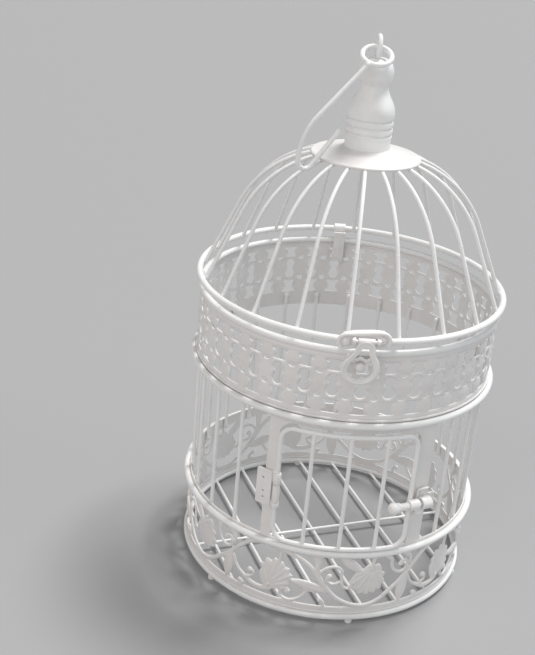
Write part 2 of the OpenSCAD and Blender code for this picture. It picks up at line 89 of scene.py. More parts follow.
def polar(az, r, z):
    """A point on the cage wall: az in degrees from the front towards +X."""
    a = math.radians(az)
    return Vector((r * math.sin(a), -r * math.cos(a), z))


# ---- Materials ----

# Noise scales, per metre: colour clouds, handling marks, pools of thicker paint, orange peel
CLOUDS, MARKS, POOLS, PEEL = 38.0, 260.0, 120.0, 900.0
COAT_ROUGHNESS = 0.22
SPECULAR = 0.5
# A dust speck's darkness against the shade, and the most of it that covers the paint
SPECK_TINT, SPECK_SHARE = 0.82, 0.5
# The roughness goes this far below and above its middle
SMOOTHER, ROUGHER = 0.06, 0.08
# Height of the pools against the orange peel, and the depth of the bump in metres
POOL_WEIGHT, BUMP_DEPTH = 2.5, 0.0006


def enamel(name, colour, shade, roughness, peel, coat=0.25):
    """Powder coat: slight orange peel, thicker pools, faint dust and handling marks."""
    mat = bpy.data.materials.new(name)
    mat.use_nodes = True
    nodes, links = mat.node_tree.nodes, mat.node_tree.links
    shader = nodes["Principled BSDF"]
    shader.inputs["Coat Weight"].default_value = coat
    shader.inputs["Coat Roughness"].default_value = COAT_ROUGHNESS
    shader.inputs["Specular IOR Level"].default_value = SPECULAR
    place = nodes.new("ShaderNodeTexCoord")

    def noise(scale, detail, rough=0.5):
        tex = nodes.new("ShaderNodeTexNoise")
        tex.inputs["Scale"].default_value = scale
        tex.inputs["Detail"].default_value = detail
        tex.inputs["Roughness"].default_value = rough
        links.new(place.outputs["Object"], tex.inputs["Vector"])
        return tex

    def ramp(source, low, high, a, b):
        node = nodes.new("ShaderNodeMapRange")
        node.inputs["From Min"].default_value = low
        node.inputs["From Max"].default_value = high
        node.inputs["To Min"].default_value = a
        node.inputs["To Max"].default_value = b
        links.new(source, node.inputs["Value"])
        return node.outputs["Result"]

    cloud = noise(CLOUDS, 5.0, 0.6)
    marks = noise(MARKS, 3.0, 0.7)
    mix = nodes.new("ShaderNodeMix")
    mix.data_type = "RGBA"
    mix.inputs["A"].default_value = (*colour, 1)
    mix.inputs["B"].default_value = (*shade, 1)
    links.new(ramp(cloud.outputs["Fac"], 0.35, 0.75, 0.0, 1.0), mix.inputs["Factor"])
    speck = nodes.new("ShaderNodeMix")
    speck.data_type = "RGBA"
    links.new(mix.outputs["Result"], speck.inputs["A"])
    speck.inputs["B"].default_value = (*[SPECK_TINT * c for c in shade], 1)
    links.new(ramp(marks.outputs["Fac"], 0.66, 0.80, 0.0, SPECK_SHARE), speck.inputs["Factor"])
    links.new(speck.outputs["Result"], shader.inputs["Base Color"])
    links.new(ramp(marks.outputs["Fac"], 0.3, 0.7, roughness - SMOOTHER, roughness + ROUGHER),
              shader.inputs["Roughness"])

    fine = noise(PEEL, 2.0)
    pools = noise(POOLS, 2.0)
    add = nodes.new("ShaderNodeMath")
    add.operation = "MULTIPLY_ADD"
    add.inputs[1].default_value = POOL_WEIGHT
    links.new(pools.outputs["Fac"], add.inputs[0])
    links.new(fine.outputs["Fac"], add.inputs[2])
    bump = nodes.new("ShaderNodeBump")
    bump.inputs["Strength"].default_value = peel
    bump.inputs["Distance"].default_value = BUMP_DEPTH
    links.new(add.outputs["Value"], bump.inputs["Height"])
    links.new(bump.outputs["Normal"], shader.inputs["Normal"])
    return mat


WIRE = enamel("wire_enamel", (0.86, 0.86, 0.85), (0.80, 0.80, 0.795), 0.34, 0.16)
# The sheet paint's greyer, warmer colour is painted shade: it stands in for the shade on the
# bands' faces under the light from above
SHEET = enamel("sheet_enamel", (0.80, 0.785, 0.77), (0.73, 0.715, 0.70), 0.46, 0.14, 0.1)
FITTING = enamel("fitting_enamel", (0.84, 0.83, 0.815), (0.77, 0.755, 0.74), 0.36, 0.20)
CASTING = enamel("casting_enamel", (0.88, 0.88, 0.87), (0.83, 0.825, 0.815), 0.40, 0.22)
RUST = enamel("worn_nails", (0.36, 0.20, 0.18), (0.48, 0.34, 0.31), 0.55, 0.2, 0.05)

LOOKS = {"coated_wire": WIRE, "coated_sheet": SHEET, "coated_fittings": FITTING,
         "coated_casting": CASTING}
for entry in frame["record"]["subparts"]:
    node = frame["nodes"][entry["node"]]
    node.data.materials.clear()
    node.data.materials.append(LOOKS[entry["material_slot"]])
    for polygon in node.data.polygons:
        polygon.material_index = 0


# ---- Mesh helpers: a part is (vertices, faces) until finish_piece makes it an object ----


def finish_piece(name, verts, faces, mat, body, nodes, slot, sharp=(), angle=None):
    """Makes the object, shades it smooth, and ties it to its body and CAD nodes; slot is not
    used.

    The edges in sharp stay hard, or where there are none, those that turn more than angle
    degrees."""
    mesh = bpy.data.meshes.new(name)
    mesh.from_pydata((np.asarray(verts, dtype=float) * MM).tolist(), [], faces)
    mesh.update()
    mesh.validate()
    mesh.shade_smooth()
    if len(sharp):
        ends = np.empty(2 * len(mesh.edges), dtype=np.int64)
        mesh.edges.foreach_get("vertices", ends)
        ends = np.sort(ends.reshape(-1, 2), axis=1)
        big = len(mesh.vertices) + 1
        keys = ends[:, 0] * big + ends[:, 1]
        want = np.sort(np.asarray(sharp, dtype=np.int64), axis=1)
        flags = np.isin(keys, want[:, 0] * big + want[:, 1])
        mark = mesh.attributes.new("sharp_edge", "BOOLEAN", "EDGE")
        mark.data.foreach_set("value", flags)
    elif angle is not None:
        mesh.set_sharp_from_angle(angle=math.radians(angle))
    mesh.materials.clear()
    mesh.materials.append(mat)
    obj = bpy.data.objects.new(name, mesh)
    bpy.context.scene.collection.objects.link(obj)
    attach(obj, body)
    if nodes:
        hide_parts(*nodes)


def joined(parts):
    """Several parts as one."""
    verts, faces, offset = [], [], 0
    for v, f in parts:
        verts.extend([tuple(p) for p in v])
        faces.extend([[i + offset for i in face] for face in f])
        offset += len(v)
    return verts, faces


def lathe(profile, segments, place=None):
    """Turns (r, z) points round the Z axis; ends on the axis are closed."""
    on_axis = 1e-6
    place = place or Matrix()
    verts, faces, rings = [], [], []
    for r, z in profile:
        if r < on_axis:
            rings.append([len(verts)])
            verts.append(place @ Vector((0, 0, z)))
        else:
            rings.append(list(range(len(verts), len(verts) + segments)))
            for k in range(segments):
                a = 2 * math.pi * k / segments
                verts.append(place @ Vector((r * math.cos(a), r * math.sin(a), z)))
    for low, high in zip(rings, rings[1:]):
        for k in range(segments):
            n = (k + 1) % segments
            if len(low) == 1 and len(high) > 1:
                faces.append([low[0], high[n], high[k]])
            elif len(high) == 1 and len(low) > 1:
                faces.append([low[k], low[n], high[0]])
            elif len(low) > 1:
                faces.append([low[k], low[n], high[n], high[k]])
    return verts, faces


def spline(points, steps):
    """Catmull-Rom through points of any dimension."""
    pts = [np.asarray(p, dtype=float) for p in points]
    pts = [2 * pts[0] - pts[1]] + pts + [2 * pts[-1] - pts[-2]]
    out = []
    for i in range(1, len(pts) - 2):
        a, b, c, d = pts[i - 1:i + 3]
        for k in range(steps):
            t = k / steps
            out.append(0.5 * (2 * b + (c - a) * t + (2 * a - 5 * b + 4 * c - d) * t ** 2
                              + (3 * b - a - 3 * c + d) * t ** 3))
    out.append(pts[-2])
    return out


# A tube's domed end: its rings, as shares of the dome, and the dome's length in radii
DOME_RINGS = (0.15, 0.5, 0.8)
DOME_LENGTH = 0.6


def tube(path, radii, sides, closed=False):
    """A round tube along path; radii is one number or one per point. Ends are domed."""
    path = [Vector(p) for p in path]
    count = len(path)
    radii = [radii] * count if isinstance(radii, (int, float)) else [float(r) for r in radii]
    tangents = []
    for i in range(count):
        a = path[i - 1] if (closed or i > 0) else path[i]
        b = path[(i + 1) % count] if (closed or i < count - 1) else path[i]
        tangents.append((b - a).normalized())
    up = Vector((0, 0, 1)) if abs(tangents[0].z) < 0.9 else Vector((1, 0, 0))
    side = tangents[0].cross(up).normalized()
    verts, faces, rings = [], [], []

    def ring(centre, tangent, radius):
        other = tangent.cross(side).normalized()
        rings.append(list(range(len(verts), len(verts) + sides)))
        for k in range(sides):
            a = 2 * math.pi * k / sides
            verts.append(centre + radius * (math.cos(a) * side + math.sin(a) * other))

    for i in range(count):
        side = (side - side.dot(tangents[i]) * tangents[i]).normalized()
        if i == 0 and not closed:
            for d in DOME_RINGS:
                ring(path[0] - tangents[0] * radii[0] * DOME_LENGTH * (1 - d), tangents[0],
                     radii[0] * math.sqrt(1 - (1 - d) ** 2))
        ring(path[i], tangents[i], radii[i])
        if i == count - 1 and not closed:
            for d in reversed(DOME_RINGS):
                ring(path[i] + tangents[i] * radii[i] * DOME_LENGTH * (1 - d), tangents[i],
                     radii[i] * math.sqrt(1 - (1 - d) ** 2))
    for low, high in zip(rings, rings[1:] + ([rings[0]] if closed else [])):
        for k in range(sides):
            n = (k + 1) % sides
            faces.append([low[k], low[n], high[n], high[k]])
    if not closed:
        faces.append(list(reversed(rings[0])))
        faces.append(rings[-1])
    return verts, faces


def hoop(radius, z, wire_r):
    """A full wire ring round the cage."""
    segments, sides = 240, 12
    path = []
    for k in range(segments):
        a = 2 * math.pi * k / segments
        path.append((radius * math.cos(a), radius * math.sin(a), z))
    return tube(path, wire_r, sides, closed=True)


def plate(outlines, thickness, bevel):
    """A flat plate with rounded edges in its own x-y plane, its middle at z = 0; the first
    outline is the outside and the others are holes."""
    curve = bpy.data.curves.new("outline", "CURVE")
    curve.dimensions = "2D"
    curve.fill_mode = "BOTH"
    curve.extrude = thickness / 2 - bevel
    curve.bevel_depth = bevel
    curve.bevel_resolution = 3
    curve.offset = -bevel
    for outline in outlines:
        line = curve.splines.new("POLY")
        line.points.add(len(outline) - 1)
        for point, (x, y) in zip(line.points, outline):
            point.co = (x, y, 0, 1)
        line.use_cyclic_u = True
    obj = bpy.data.objects.new("outline", curve)
    bpy.context.scene.collection.objects.link(obj)
    bpy.context.view_layer.update()
    solid = obj.evaluated_get(bpy.context.evaluated_depsgraph_get())
    mesh = bpy.data.meshes.new_from_object(solid)
    verts = [v.co.copy() for v in mesh.vertices]
    faces = [list(p.vertices) for p in mesh.polygons]
    bpy.data.objects.remove(obj)
    bpy.data.curves.remove(curve)
    bpy.data.meshes.remove(mesh)
    return verts, faces


def moved(part, place):
    """The part with each vertex put through place, a matrix or a function."""
    verts, faces = part
    return [place(v) if callable(place) else place @ v for v in verts], faces


def circle(x, y, r, count, start=0.0, end=360.0):
    """Points on a circle, or on an arc of it between two angles in degrees."""
    closed = abs(end - start) >= 360
    steps = count if closed else count - 1
    return [(x + r * math.cos(math.radians(start + (end - start) * k / steps)),
             y + r * math.sin(math.radians(start + (end - start) * k / steps)))
            for k in range(count)]


# ---- Pierced sheets: a relief of strokes and shapes, meshed at its own outline ----

# Depth where there is no metal yet, and a distance beyond every stroke
NOWHERE, FAR = -9.0, 99.0
# How far the faces of strokes, bulbs and leaves stand out
STROKE_RISE, BULB_RISE, LEAF_RISE = 0.5, 0.9, 0.7
# A leaf's vein: height and half width, then the depth, place and half width of its groove
VEIN, VEIN_W, GROOVE, GROOVE_AT, GROOVE_W = 0.34, 0.55, 0.22, 1.5, 0.8
# Grid steps of the two bands, and the empty margin beyond each edge of the sheet
UPPER_STEP, LOWER_STEP, EDGE_ROOM = 0.69, 0.71, 0.6

class Relief:
    """Signed depth inside the metal and height of the face, on a grid, in millimetres."""

    def __init__(self, width, low, high, step):
        self.width = width
        self.nx = int(round(width / step))
        self.nz = int(round((high - low) / step))
        self.xs = np.arange(self.nx) * width / self.nx
        self.zs = np.linspace(low, high, self.nz + 1)
        self.x, self.z = np.meshgrid(self.xs, self.zs, indexing="ij")
        self.inside = np.full(self.x.shape, NOWHERE)
        self.height = np.zeros(self.x.shape)

    def copies(self):
        """The grid's x for a shape and for its neighbours in the repeats on each side."""
        return [self.x + k * self.width for k in (-1, 0, 1)]

    def add(self, depth, height=None):
        """Adds metal where depth is above 0."""
        self.inside = np.maximum(self.inside, depth)
        if height is not None:
            self.height = np.maximum(self.height, np.where(depth > 0, height, 0))

    def cut(self, depth):
        """Takes away the metal where depth is above 0."""
        self.inside = np.minimum(self.inside, -depth)

    def stroke(self, points):
        """points are (x, z, width); the face is rounded across the stroke."""
        path = spline(points, 6)
        for x in self.copies():
            best = np.full(x.shape, FAR)
            reach = np.full(x.shape, 1.0)
            for p, q in zip(path, path[1:]):
                dx, dz = q[0] - p[0], q[1] - p[1]
                t = ((x - p[0]) * dx + (self.z - p[1]) * dz) / (dx * dx + dz * dz + 1e-9)
                t = np.clip(t, 0, 1)
                half = (p[2] + t * (q[2] - p[2])) / 2
                d = np.hypot(x - p[0] - t * dx, self.z - p[1] - t * dz) - half
                closer = d < best
                best = np.where(closer, d, best)
                reach = np.where(closer, half, reach)
            rise = np.clip(-best / reach, 0, 1)
            self.add(-best, STROKE_RISE * np.sqrt(rise * (2 - rise)))

    def bulb(self, cx, cz, r):
        for x in self.copies():
            d = r - np.hypot(x - cx, self.z - cz)
            self.add(d, BULB_RISE * np.sqrt(np.clip(d / r * (2 - d / r), 0, 1)))

    def leaf(self, cx, cz, outline, stem, veins):
        """A lobed leaf: outline is (angle, radius) pairs round (cx, cz); veins run from
        the stem to each angle listed."""
        angles = np.array([a for a, _ in outline])
        radii = np.array([r for _, r in outline])
        order = np.argsort(angles)
        angles, radii = angles[order], radii[order]
        angles = np.concatenate([angles - 360, angles, angles + 360])
        radii = np.concatenate([radii, radii, radii])
        for x in self.copies():
            px, pz = x - cx, self.z - cz
            r = np.hypot(px, pz)
            theta = np.degrees(np.arctan2(pz, px)) % 360
            edge = np.interp(theta, angles, radii)
            depth = (edge - r) * 0.8
            face = LEAF_RISE * (1 - np.exp(-np.clip(depth, 0, 9) / 1.6))
            for vein in veins:
                tip = np.interp(vein % 360, angles, radii) * 0.86
                ax, az = stem
                bx = tip * math.cos(math.radians(vein))
                bz = tip * math.sin(math.radians(vein))
                t = np.clip(((px - ax) * (bx - ax) + (pz - az) * (bz - az))
                            / ((bx - ax) ** 2 + (bz - az) ** 2), 0, 1)
                d = np.hypot(px - ax - t * (bx - ax), pz - az - t * (bz - az))
                face = (face + VEIN * np.exp(-(d / VEIN_W) ** 2)
                        - GROOVE * np.exp(-((d - GROOVE_AT) / GROOVE_W) ** 2))
            self.add(depth, face)

    def almond(self, x0, z0, x1, z1, width):
        """A pointed leaf from one tip to the other, with a midrib."""
        length = math.hypot(x1 - x0, z1 - z0)
        ux, uz = (x1 - x0) / length, (z1 - z0) / length
        lens = (length ** 2 + width ** 2) / (4 * width)
        for x in self.copies():
            along = (x - x0) * ux + (self.z - z0) * uz - length / 2
            across = -(x - x0) * uz + (self.z - z0) * ux
            depth = np.minimum(lens - np.hypot(along, across - lens + width / 2),
                               lens - np.hypot(along, across + lens - width / 2))
            face = LEAF_RISE * (1 - np.exp(-np.clip(depth, 0, 9) / 1.0))
            face = face + 0.3 * np.exp(-(across / 0.5) ** 2)
            face = face + 0.10 * np.sin(2.4 * (along - 1.2 * np.abs(across))) * (depth > 0.6)
            self.add(depth, face)

    def mesh(self, repeats, start_az, radius_out, radius_in):
        """Walks the grid cells round the whole wall; cells at the outline are clipped."""
        inside, height, level = self.inside, self.height, self.zs
        # The face rounds off towards the outline, this far in and this deep
        lip_width, lip_drop = 0.55, 0.3
        lip = np.clip(inside / lip_width, 0, 1)
        outer = radius_out - lip_drop * (1 - lip) ** 2 + height
        nx, nz, total = self.nx, self.nz, self.nx * repeats
        turn = 360.0 / total
        points, index = [], {}

        def node(i, j):
            key = (i % total, j, 0)
            if key not in index:
                index[key] = len(points)
                points.append((i % total, level[j], outer[i % nx, j]))
            return index[key]

        def crossing(i, j, k, m):
            if (i, j) > (k, m):
                i, j, k, m = k, m, i, j
            kind = 1 if k != i else 2
            key = (i % total, j, kind)
            if key not in index:
                a, b = inside[i % nx, j], inside[k % nx, m]
                t = a / (a - b)
                index[key] = len(points)
                high = max(height[i % nx, j], height[k % nx, m]) * 0.35
                points.append((i + t * (k - i), level[j] + t * (level[m] - level[j]),
                               radius_out - lip_drop + high))
            return index[key]

        faces, rims = [], []
        solid = inside > 0
        for i in range(total):
            a, b = i % nx, (i + 1) % nx
            for j in range(nz):
                flags = (solid[a, j], solid[b, j], solid[b, j + 1], solid[a, j + 1])
                if not any(flags):
                    continue
                corners = ((i, j), (i + 1, j), (i + 1, j + 1), (i, j + 1))
                ring, cuts = [], []
                for c in range(4):
                    if flags[c]:
                        ring.append(node(*corners[c]))
                    if flags[c] != flags[(c + 1) % 4]:
                        low, high = corners[c], corners[(c + 1) % 4]
                        if low > high:
                            low, high = high, low
                        vertex = crossing(low[0], low[1], high[0], high[1])
                        cuts.append((flags[c], vertex))
                        ring.append(vertex)
                faces.append(ring)
                for n, (leaving, vertex) in enumerate(cuts):
                    if leaving:
                        rims.append((vertex, cuts[(n + 1) % len(cuts)][1]))
        count = len(points)
        verts = []
        for i, z, r in points:
            a = math.radians(start_az + i * turn)
            verts.append((r * math.sin(a), -r * math.cos(a), z))
        for i, z, r in points:
            a = math.radians(start_az + i * turn)
            verts.append((radius_in * math.sin(a), -radius_in * math.cos(a), z))
        back = [[v + count for v in reversed(f)] for f in faces]
        walls = [[b, a, a + count, b + count] for a, b in rims]
        sharp = [(a + count, b + count) for a, b in rims]
        return verts, faces + back + walls, sharp


def upper_band():
    """36 cells: figure-of-eight holes in raised rims, discs, dots and vase-shaped holes.

    Heights are above the middle of the base ring."""
    cells = 36
    # Round ends of the figure of eight: height, hole radius and outer radius of the rim
    eye_high, eye_high_r, rim_high_r = 171.7, 3.4, 5.5
    eye_low, eye_low_r, rim_low_r = 164.2, 3.65, 5.8
    # Half the figure's waist, and the radius of the round sides of the vase and the foot
    waist_half, side_r = 2.25, 4.6
    pitch = 2 * math.pi * BAND_OUT / cells
    low, high = MID_Z - 4.2, TOP_Z - 1.9
    relief = Relief(pitch, low - EDGE_ROOM, high + EDGE_ROOM, UPPER_STEP)
    z = relief.z - BASE_Z
    relief.add(np.minimum(relief.z - low, high - relief.z))
    for x in relief.copies():
        x = x - pitch / 2
        upper = eye_high_r - np.hypot(x, z - eye_high)
        lower = eye_low_r - np.hypot(x, z - eye_low)
        waist = np.minimum(waist_half - np.abs(x), np.minimum(z - 164, 172 - z))
        eight = np.maximum(np.maximum(upper, lower), waist)
        keep = np.minimum(np.hypot(x, z - eye_high) - rim_high_r,
                          np.hypot(x, z - eye_low) - rim_low_r)

        def waisted(centre, half, rise, ends):
            """A hole with a round-sided waist and wider ends."""
            side = np.hypot(np.abs(x) - half - side_r, z - centre) - side_r
            core = np.minimum(side, rise - np.abs(z - centre))
            caps = [np.minimum(wide - np.abs(x), 0.85 - np.abs(z - level))
                    for level, wide in ends]
            return np.maximum(np.minimum(core, 5.2 - np.abs(x)), np.max(caps, axis=0))

        vase = waisted(180.7, 2.75, 3.7, ((183.5, 5.0), (177.9, 4.0)))
        foot = waisted(153.9, 2.95, 4.4, ((150.2, 5.3), (157.4, 4.2)))
        relief.cut(eight)
        relief.cut(np.minimum(vase, keep))
        relief.cut(np.minimum(foot, keep))
        for dz, a, b in ((175.9, 2.3, 1.35), (160.5, 2.2, 1.6)):
            for side in (-0.5, 0.5):
                relief.cut(b * (1 - np.hypot((x - side * pitch) / a, (z - dz) / b)))
        rim = 0.42 * np.exp(-((eight + 1.1) / 0.6) ** 2)
        bead = [0.75 * np.sqrt(np.clip(1 - ((x - s * 3.9) ** 2 + (z - 168.1) ** 2) / 2.6, 0, 1))
                for s in (-1, 1)]
        dome = [0.5 * np.clip(1 - ((x - s * pitch / 2) ** 2 + (z - dz) ** 2) / r ** 2, 0, 1)
                for s in (-1, 1) for dz, r in ((168.2, 4.6), (180.2, 4.9), (154.3, 4.6))]
        lines = [0.3 * np.exp(-((z - dz) / 0.5) ** 2) for dz in (186.6, 147.2)]
        relief.height = np.maximum(relief.height, np.max([rim] + bead + dome + lines, axis=0))
    first_az = 0.8 - 180.0 / cells
    verts, faces, sharp = relief.mesh(cells, first_az, BAND_OUT, BAND_IN)
    finish_piece("upper_band_sheet", verts, faces, SHEET, "cage", ["upper_band"],
                 "coated_sheet", sharp)


def lower_band():
    """A vine scroll with lobed leaves, pointed leaves and curls, five times round.

    Places are (degrees from the front, height above the middle of the base ring), and a
    stroke's third number is its width."""
    waves = 5
    pitch = 2 * math.pi * BAND_OUT / waves
    # As drawn it repeats every 68 degrees; from here it is stretched to 72, a fifth of the wall
    first_az = -10.0
    stretch = 72.0 / 68.0
    # Plain margins reach up to and down from these heights
    margin_low, margin_high = 7.6, 45.3
    low, high = BASE_Z + 1.9, LOWER_Z + 3.1
    relief = Relief(pitch, low - EDGE_ROOM, high + EDGE_ROOM, LOWER_STEP)

    def at(az, z):
        return (az - first_az) * stretch * math.pi / 180 * BAND_OUT, z + BASE_Z

    def stroke(points):
        relief.stroke([(*at(az, z), w) for az, z, w in points])

    margins = np.maximum(BASE_Z + margin_low - relief.z, relief.z - (BASE_Z + margin_high))
    relief.add(np.minimum(margins, np.minimum(relief.z - low, high - relief.z)), 0)
    # The vine: up to the top margin and down again
    stroke([(-49, 15, 2.8), (-46, 19.4, 2.8), (-43.3, 23.6, 2.8), (-41.1, 27.8, 3.2),
            (-37.8, 34.5, 2.7), (-34.8, 40.1, 2.7), (-32, 44.2, 3.0), (-28, 46.5, 3.0)])
    stroke([(-23, 46.4, 3.0), (-18, 44.4, 2.7), (-14.7, 42.7, 2.7), (-12, 40.6, 2.8),
            (-8.9, 36.2, 3.0), (-6.2, 30.1, 3.6), (-4.4, 24.8, 3.4), (-1.7, 19.4, 2.8),
            (0.9, 14.8, 2.7), (3.6, 11.8, 2.7), (6.7, 9.5, 2.7), (10.8, 8.3, 2.8),
            (14.3, 9.5, 2.8), (17.5, 12.5, 2.7), (20.5, 17, 2.7), (22.5, 20.5, 2.8)])
    # Scroll under the upper leaf, with its curl
    stroke([(-40.6, 28.5, 3.2), (-39.2, 25, 2.2), (-38.2, 21.5, 2.0), (-36.6, 18.2, 2.1),
            (-34.4, 15.4, 2.6), (-31.6, 12.6, 3.2), (-28, 11.4, 3.4), (-24.6, 12.4, 3.4),
            (-22.5, 15, 3.2)])
    stroke([(-33.4, 15.2, 2.2), (-31.0, 17.2, 1.7), (-30.3, 20.2, 1.4), (-31.2, 22.4, 1.4)])
    relief.bulb(*at(-31.9, 21.6), 1.9)
    # Curl below the upper leaf on the right, and the hooked stem that reaches the pointed leaf
    stroke([(-9.6, 18.5, 2.2), (-11.4, 13.4, 2.0), (-13.4, 10.1, 2.0), (-16, 8.4, 2.0),
            (-18.6, 9.6, 1.8), (-19.4, 12.6, 1.7), (-18.6, 15.8, 1.5), (-17, 16.9, 1.4),
            (-15.9, 15.2, 1.3)])
    relief.bulb(*at(-16.9, 14.6), 1.7)
    stroke([(-3.6, 6.5, 2.6), (-3.4, 10, 1.9), (-4.2, 12.6, 1.6)])
    relief.bulb(*at(-4.8, 12.4), 1.6)
    # Spiral between the vine and the lower leaf
    stroke([(-6.3, 30, 2.4), (-5.2, 34.4, 2.0), (-3, 37.8, 1.9), (-0.2, 38.8, 1.9),
            (1.9, 36.2, 1.9), (2.1, 32, 1.9), (2.3, 27.6, 1.9), (3.2, 23.6, 1.9),
            (4.9, 22.4, 1.8), (6, 24.6, 1.8)])
    stroke([(1.9, 27.6, 1.6), (-0.2, 25.6, 1.6), (-2.3, 26.4, 1.6), (-3.2, 29, 1.6),
            (-2.6, 31, 1.6)])
    relief.bulb(*at(-2.2, 31.2), 1.8)
    # Stem and broad leaf tips along the top margin
    stroke([(-6.6, 32, 2.0), (-6.7, 38, 3.4), (-6.8, 46, 6.2)])
    relief.almond(*at(0.6, 46.5), *at(10.2, 34.4), 6.4)
    stroke([(-19.8, 46.4, 2.2), (-20.2, 40, 2.0), (-20.6, 36, 2.4)])
    stroke([(13.6, 46, 2.2), (13.2, 41, 2.0), (12.8, 37, 2.4)])
    # Hook with a curl at the right, its bulb inside
    stroke([(18.6, 46.2, 4.2), (20.4, 42.4, 2.6), (20.8, 37.6, 2.0), (22, 33.4, 2.0),
            (24.4, 31, 2.0), (26.8, 32.4, 2.0), (27.6, 36, 1.8), (26.6, 39.2, 1.6),
            (24.9, 39.2, 1.5)])
    relief.bulb(*at(24.4, 37.4), 1.8)
    stroke([(26, 46, 4.6), (28.6, 41, 2.4), (28.6, 36.4, 1.8)])
    # Pointed leaves
    relief.almond(*at(-16.4, 24.6), *at(-2.2, 18.6), 7.6)
    relief.almond(*at(-41.0, 29.5), *at(-42.4, 6.6), 8.2)
    stroke([(-36, 6.6, 2.8), (-34.4, 9.0, 1.8), (-35.2, 10.6, 1.5)])
    relief.bulb(*at(-35.9, 10.2), 1.5)
    # Broad lobed leaves: (angle, radius) round their middles
    high_leaf = [(0, 10.6), (12, 12.2), (24, 10.4), (38, 12.0), (52, 10.2), (68, 12.4),
                 (80, 11.2), (94, 13.4), (106, 10.6), (122, 13.2), (138, 10.6), (152, 12.0),
                 (168, 10.0), (184, 11.2), (203, 11.4), (222, 12.2), (238, 13.4), (256, 11.2),
                 (272, 11.0), (286, 9.8), (302, 12.0), (318, 9.8), (334, 12.0), (348, 10.2)]
    cx, cz = at(-21.8, 24.6)
    relief.leaf(cx, cz, high_leaf, (-4.5, -9.0), (14, 45, 84, 126, 164, 338))
    low_leaf = [(6, 10.4), (20, 12.2), (34, 10.6), (48, 12.4), (62, 13.8), (78, 10.8), (94, 12.0),
                (112, 9.6), (134, 10.8), (154, 10.6), (172, 11.0), (188, 13.0), (202, 10.6),
                (214, 12.6), (228, 10.8), (240, 12.0), (254, 10.2), (268, 11.8), (282, 10.0),
                (296, 12.0), (308, 10.6), (322, 12.6), (336, 10.4), (350, 12.2)]
    cx, cz = at(12.0, 28.4)
    relief.leaf(cx, cz, low_leaf, (2.5, 9.0), (190, 226, 270, 316, 352, 150, 24))
    verts, faces, sharp = relief.mesh(waves, first_az, BAND_OUT, BAND_IN)
    finish_piece("lower_band_sheet", verts, faces, SHEET, "cage", ["lower_band"],
                 "coated_sheet", sharp)


upper_band()
lower_band()

# Rolled hems of the two bands
hems = joined([hoop(BAND_OUT + 0.3, MID_Z + 3.0, 0.9), hoop(BAND_OUT - 0.4, BASE_Z + 3.0, 0.8),
               hoop(BAND_OUT - 0.7, TOP_Z - 2.9, 0.7)])
finish_piece("band_hems", *hems, SHEET, "cage", [], "coated_sheet")

# ---- Lid top: turned finial and its cap ----

# (radius, height): the foot, three grooves in a drum, and the neck and bulb above them
FINIAL_FOOT = [(0, 0.2), (13.4, 0.2), (14.3, 0.9), (14.45, 2.2), (14.35, 4.5), (14.5, 8.6)]
GROOVES = (10.7, 15.0, 19.4)
GROOVE_LINE = ((14.7, -1.5), (14.5, -0.9), (13.75, -0.35), (13.6, 0), (13.75, 0.35),
               (14.5, 0.9), (14.75, 1.5))
FINIAL_TOP = [(14.8, 22.4), (14.75, 24.2), (14.3, 26.6), (13.5, 28.9), (12.3, 31.3),
              (11.0, 33.6), (9.9, 35.7), (9.1, 37.8), (8.75, 39.6), (8.8, 40.8), (9.4, 41.9),
              (10.2, 43.4), (10.85, 45.3), (11.05, 47.4), (10.95, 49.6), (10.4, 51.8),
              (9.3, 53.9), (7.7, 55.4), (5.2, 56.4), (2.4, 56.75), (0, 56.8)]
grooves = [(r, height + dz) for height in GROOVES for r, dz in GROOVE_LINE]
finial_line = [(p[0], p[1]) for p in spline(FINIAL_FOOT + grooves + FINIAL_TOP, 3)]
finish_piece("finial_turned", *lathe(finial_line, 96, Matrix.Translation((0, 0, FINIAL_Z))),
             CASTING, "lid", ["finial"], "coated_casting", angle=60)

CAP_EDGE_R = 0.9
CAP_R = most("cap_disc", X) - CAP_EDGE_R
CAP_LOW, CAP_HIGH = least("cap_disc", Z), most("cap_disc", Z)
cap_rim = [(CAP_R + CAP_EDGE_R * math.sin(math.radians(a)),
            CAP_LOW + CAP_EDGE_R - CAP_EDGE_R * math.cos(math.radians(a)))
           for a in range(0, 181, 20)]
cap_dish = [(CAP_R - 2.0, CAP_LOW + 1.75), (CAP_R - 6, CAP_LOW + 2.6), (24, CAP_HIGH - 0.95),
            (17.5, CAP_HIGH - 0.1), (15.6, CAP_HIGH + 0.35), (14.2, CAP_HIGH + 1.3),
            (13.0, CAP_HIGH + 1.5)]
cap_under = [(10.0, CAP_HIGH - 1.2), (17.0, CAP_HIGH - 1.4), (24, CAP_HIGH - 2.1),
             (CAP_R - 6, CAP_LOW + 1.4), (CAP_R - 1.6, CAP_LOW + 0.5)]
verts, faces = lathe([(0, CAP_HIGH + 0.2)] + cap_dish[::-1] + cap_rim[::-1] + cap_under[::-1]
                     + [(0, CAP_HIGH - 1.2)], 144)
finish_piece("cap_spun", verts, [f[::-1] for f in faces], SHEET, "lid", ["cap_disc"],
             "coated_sheet", angle=50)


# ---- Clasp ----

# Turns a plate's x-y plane upright, to face the front
UPRIGHT = Matrix.Rotation(math.radians(90), 4, "X")


def dome(r, h, place, segments=28):
    """A domed rivet head with a soft foot, its base at z = 0."""
    line = [(r * 1.04, -0.15), (r, h * 0.14), (r * 0.93, h * 0.42), (r * 0.74, h * 0.73),
            (r * 0.45, h * 0.93), (r * 0.2, h * 0.99), (0, h)]
    return lathe(line, segments, place)


